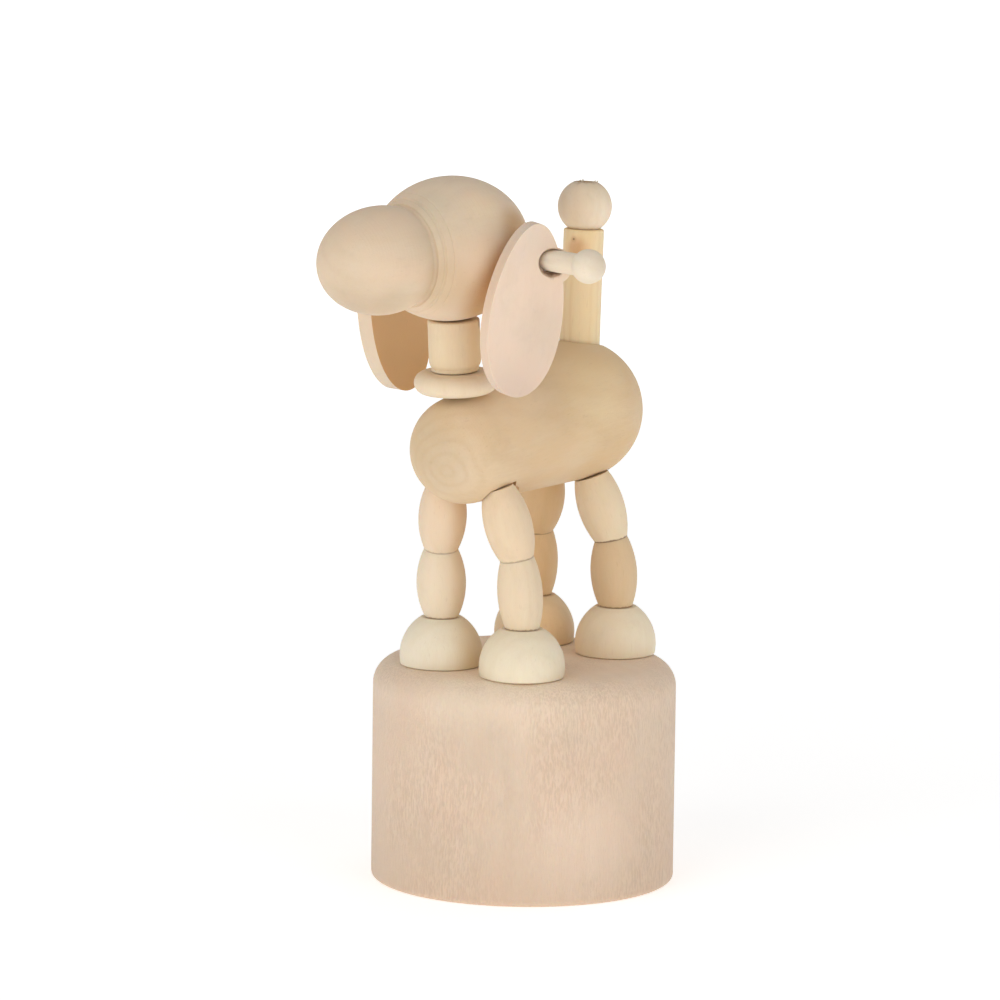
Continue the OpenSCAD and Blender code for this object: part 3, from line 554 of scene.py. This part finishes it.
press = "button_press"
for k, g in LEGS.items():
    lower, upper = "lower_leg_" + k, "upper_leg_" + k
    made = []
    # inside the button, it moves with the button
    made.append(cord("cord_" + k + "_in_button", [V(g.x, g.y, 4.6), V(g.x, g.y, BUTTON_TOP - 0.05)], "push_button"))
    # through the chamber, fixed to the base with a mesh of its own; on the toy it slackens as the button rises
    made.append(cord("cord_" + k + "_chamber", [V(g.x, g.y, BUTTON_TOP), V(g.x, g.y, CHAMBER_H)], "base",
                     squash=(press, dict(axis=(0, 0, 1), anchor=(g.x * MM, g.y * MM, CHAMBER_H * MM), keep=(CHAMBER_H - BUTTON_TOP - TRAVEL) / (CHAMBER_H - BUTTON_TOP)))))
    # up through deck and foot, over the ankle
    p1 = g.ankle + 2.4 * g.lo
    made.append(cord("cord_" + k + "_ankle", [V(g.x, g.y, CHAMBER_H), V(g.x, g.y, FOOT_TOP - 2), g.ankle + 0.6 * g.lo, p1], bend=("base", lower, V(g.x, g.y, FOOT_TOP - 1.2), g.ankle + 1.4 * g.lo)))
    # over the knee
    p2 = g.knee_up + 2.4 * g.up
    made.append(cord("cord_" + k + "_knee", [p1, g.knee_lo - 0.8 * g.lo, g.knee_up + 0.8 * g.up, p2], bend=(lower, upper, g.knee_lo - 1.2 * g.lo, g.knee_up + 1.2 * g.up)))
    if k == "front_left":
        d = (neck_exit(g) - g.hip).normalized()
        made.append(cord("cord_" + k + "_hip", [p2, g.hip - 1.0 * g.up, g.hip + 1.5 * d, g.hip + 4 * d], bend=(upper, "body", g.hip - 1.2 * g.up, g.hip + 1.2 * d)))
        made.append(cord("cord_" + k + "_body", [g.hip + 4 * d, neck_exit(g) - 0.3 * d], "body"))
    else:
        # these hips open as the dog sinks, and the slack cord draws back into the body
        made.append(cord("cord_" + k + "_hip", [p2, g.hip - 0.9 * g.up], upper))
        if k == "front_right":
            dest = neck_exit(g)
            end = dest - 0.3 * (dest - g.hip).normalized()
        else:
            sx = 0.6 * g.side
            dest = TAIL_FOOT + V(sx, 0, 1.5)
            end = TAIL_FOOT + V(0.56 * g.side, 0, 0) - 0.5 * TAIL_AX
        d = (dest - g.hip).normalized()
        made.append(cord("cord_" + k + "_body", [g.hip - 0.6 * g.up, g.hip + 1.5 * d, end], "body"))
    if k.startswith("front"):
        sd = V(0.6 * g.side, 0, 0)
        a, b = neck_exit(g) - 0.3 * (neck_exit(g) - g.hip).normalized(), COLLAR_FOOT + sd + V(0, 0.9, 1.6)
        made.append(cord("cord_" + k + "_collar", [a, COLLAR_FOOT + sd + V(0, 1.35, 0.6), b], bend=("body", "collar_ring", COLLAR_FOOT - 0.3 * COLLAR_AX, COLLAR_FOOT + 0.6 * COLLAR_AX)))
        c = NECK_FOOT + sd + 2 * NECK_AX
        made.append(cord("cord_" + k + "_neck", [b, COLLAR_FOOT + sd + 3 * COLLAR_AX, c], bend=("collar_ring", "neck_bead", NECK_FOOT - 0.6 * NECK_AX, NECK_FOOT + 0.6 * NECK_AX)))
        made.append(cord("cord_" + k + "_neck_bore", [c, NECK_TOP + sd - 0.3 * NECK_AX], "neck_bead"))
        top = NECK_TOP + NECK_AX * ((HEAD_C.z + 5.2 - NECK_TOP.z) / NECK_AX.z) + sd
        made.append(cord("cord_" + k + "_head", [NECK_TOP + sd + 0.3 * NECK_AX, top], "head"))
    else:
        sd = V(0.56 * g.side, 0, 0)
        a, b = TAIL_FOOT + sd - 0.5 * TAIL_AX, TAIL_FOOT + sd + 2 * TAIL_AX
        made.append(cord("cord_" + k + "_tail_foot", [a, b], bend=("body", "tail_post", TAIL_FOOT - 0.3 * TAIL_AX, TAIL_FOOT + 0.9 * TAIL_AX)))
        c = TAIL_END + sd - 1.5 * TAIL_AX
        made.append(cord("cord_" + k + "_tail_post", [b, c], "tail_post"))
        made.append(cord("cord_" + k + "_tail_end", [c, TAIL_BALL + sd + 1.25 * TAIL_AX], bend=("tail_post", "tail_ball", TAIL_END - 0.6 * TAIL_AX, TAIL_END + 0.8 * TAIL_AX)))
    for o in made:
        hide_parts("cord_" + k)

# overhand knots in the button's counterbores
knot_parts = []
for k, g in LEGS.items():
    c = V(g.x, g.y, 3.05)
    pts = []
    turn = random.uniform(0, 6.28)
    for i in range(97):
        t = 2 * math.pi * i / 96
        x = math.sin(t) + 2 * math.sin(2 * t)
        y = math.cos(t) - 2 * math.cos(2 * t)
        z = -math.sin(3 * t)
        v = V(x * 0.29, y * 0.29, z * 0.50)
        v.rotate(Euler((0.25, 0.1, turn)))
        pts.append(c + v)
    o = tube("knot_" + k, pts, 0.43, 12, 3, 1.7, CORD, closed_ends=False)
    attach(o, "push_button")
    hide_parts("cord_knots")
    # trimmed end below the knot
    q = [c + V(0.35, 0.1, -0.3), c + V(0.55, 0.25, -0.9), c + V(0.45, 0.5, -1.35)]
    e = tube("knot_end_" + k, smooth_path(q, 0.2), 0.36, 12, 3, 1.4, CORD)
    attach(e, "push_button")
    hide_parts("cord_knots")

# return spring: closed ends, smooth wire
wire, sd2, turns = 1.2, 21.0, 5.0
h = CHAMBER_H - BUTTON_TOP - wire - 0.04
pts = []
per = 48
for i in range(int(per * turns) + 1):
    u = i / per
    if u < 0.75:
        z = wire * u
    elif u > turns - 0.75:
        z = h - wire * (turns - u)
    else:
        z = wire * 0.75 + (h - 1.5 * wire) * (u - 0.75) / (turns - 1.5)
    a = 2 * math.pi * u
    pts.append(V(sd2 / 2 * math.cos(a), sd2 / 2 * math.sin(a), BUTTON_TOP + wire / 2 + 0.02 + z))
sp = tube("spring_coil", pts, wire / 2 - 0.01, 16, 0, 1, STEEL)
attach(sp, "base")
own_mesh(sp)
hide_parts("return_spring")

# clipped cord ends standing out beside the plug in the tail ball's crown
for s, turn in ((1, 0.4), (-1, 2.6)):
    c = TAIL_BALL + 3.35 * TAIL_AX + V(1.22 * math.cos(turn), 1.22 * math.sin(turn), 0)
    e = c + 0.72 * TAIL_AX + V(0.25 * math.cos(turn), 0.25 * math.sin(turn), 0)
    for j in range(5):
        w = V(random.uniform(-0.32, 0.32), random.uniform(-0.32, 0.32), random.uniform(-0.12, 0.12))
        o = tube("tail_cord_wisp_%s_%d" % ("a" if s > 0 else "b", j), smooth_path([c + w * 0.3, (c + e) / 2 + w * 0.7, e + w * 1.3], 0.15), 0.11, 8, 0, 1, CORD)
        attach(o, "tail_ball")

# ---------------------------------------------------------------- floor and light
fl = bpy.data.meshes.new("floor")
S = 9.0
fl.from_pydata([(-S, -S, -0.00002), (S, -S, -0.00002), (S, S, -0.00002), (-S, S, -0.00002)], [], [(0, 1, 2, 3)])
floor = bpy.data.objects.new("floor", fl)
bpy.context.scene.collection.objects.link(floor)
ft = Tree("floor_pale")
ft.bsdf.inputs["Base Color"].default_value = (0.93, 0.93, 0.93, 1)
ft.bsdf.inputs["Roughness"].default_value = 0.9
ft.bsdf.inputs["Specular IOR Level"].default_value = 0.1
ft.bsdf.inputs["Emission Color"].default_value = (1, 1, 1, 1)
# the backdrop glows on its own, a little brighter away from the toy; the dimmer glow near the toy is a painted soft
# shade
ftc = ft.n("ShaderNodeTexCoord")
away = ft.vmath("LENGTH", ftc.outputs["Object"])
ft.link(ft.remap(away, 0.10, 1.2, 0.46, 0.86, True), ft.bsdf.inputs["Emission Strength"])
fl.materials.append(ft.mat)

world = bpy.data.worlds.new("studio")
bpy.context.scene.world = world
world.use_nodes = True
bg = world.node_tree.nodes.get("Background") or world.node_tree.nodes.new("ShaderNodeBackground")
bg.inputs[0].default_value = (1.0, 1.0, 1.0, 1)
bg.inputs[1].default_value = 0.42


def softbox(name, az, el, dist, size, power, colour=(1, 1, 1)):
    d = bpy.data.lights.new(name, "AREA")
    d.shape = "RECTANGLE"
    d.size, d.size_y = size
    d.energy = power
    d.color = colour
    o = bpy.data.objects.new(name, d)
    a, e = math.radians(az), math.radians(el)
    c = Vector((0, 0, 0.06))
    back = Vector((math.sin(a) * math.cos(e), -math.cos(a) * math.cos(e), math.sin(e)))
    o.location = c + back * dist
    o.rotation_mode = "QUATERNION"
    o.rotation_quaternion = (-back).to_track_quat("-Z", "Y")
    bpy.context.scene.collection.objects.link(o)
    return o


softbox("key_left", 0, 22, 1.0, (0.8, 0.8), 2.7, (1.0, 0.99, 0.97))
softbox("fill_right", 78, 18, 1.1, (0.8, 0.9), 2.1, (1.0, 0.99, 0.98))
softbox("top", 200, 70, 1.2, (1.0, 1.0), 1.3)

vs = bpy.context.scene.view_settings
vs.view_transform = "Standard"
vs.look = "None"
vs.exposure = 0.0
vs.gamma = 1.0
